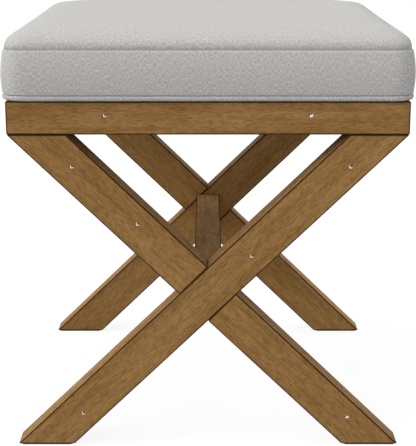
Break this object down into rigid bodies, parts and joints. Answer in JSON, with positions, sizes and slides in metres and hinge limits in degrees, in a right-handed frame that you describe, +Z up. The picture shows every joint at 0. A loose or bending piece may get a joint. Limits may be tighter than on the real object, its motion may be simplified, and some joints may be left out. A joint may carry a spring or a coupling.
{
  "type": "vanity stool",
  "caption": "Upholstered vanity stool: crowned box cushion with piping on a wooden apron, carried by crossed-leg end frames joined by a stretcher.",
  "frame": {"origin": "on the floor, under the middle of the seat", "axes": "+X across the X-shaped end frames to the right as the picture sees them, +Y from the front frame to the back frame, +Z up"},
  "size_m": [0.4428, 0.4298, 0.472],
  "materials": {
    "stained_wood": "stained hardwood, satin lacquer, darker broken edges",
    "plain_wood": "stained hardwood, matt",
    "dowel_wood": "bare beech",
    "plywood": "bare plywood",
    "pin_steel": "bright",
    "screw_steel": "zinc plated",
    "staple_steel": "galvanised wire",
    "felt": "dark felt",
    "cover_cloth": "light grey linen-look weave",
    "cord_cotton": "cotton cord",
    "wadding": "polyester wadding",
    "foam": "open-cell foam",
    "dust_cloth": "non-woven cloth"
  },
  "bodies": {
    "root": {"front_rail": "stained_wood", "back_rail": "stained_wood", "left_rail": "stained_wood", "right_rail": "stained_wood", "front_through_leg": "stained_wood", "front_upper_half_leg": "stained_wood", "front_lower_half_leg": "stained_wood", "back_through_leg": "stained_wood", "back_upper_half_leg": "stained_wood", "back_lower_half_leg": "stained_wood", "stretcher": "stained_wood", "left_seat_bearer": "plain_wood", "right_seat_bearer": "plain_wood", "front_left_corner_block": "plain_wood", "front_right_corner_block": "plain_wood", "back_left_corner_block": "plain_wood", "back_right_corner_block": "plain_wood", "leg_top_dowels": "dowel_wood", "crossing_dowels": "dowel_wood", "stretcher_dowels": "dowel_wood", "rail_corner_dowels": "dowel_wood", "front_leg_pins": "pin_steel", "back_leg_pins": "pin_steel", "rail_pins": "pin_steel", "corner_block_screws": "screw_steel", "seat_screws": "screw_steel", "cover_staples": "staple_steel", "front_left_foot_pad": "felt", "front_right_foot_pad": "felt", "back_left_foot_pad": "felt", "back_right_foot_pad": "felt", "seat_top_panel": "cover_cloth", "seat_boxing": "cover_cloth", "seat_piping": "cover_cloth", "piping_cord": "cord_cotton", "seat_wadding": "wadding", "seat_foam": "foam", "seat_board": "plywood", "dust_cover": "dust_cloth"}
  },
  "joints": []
}
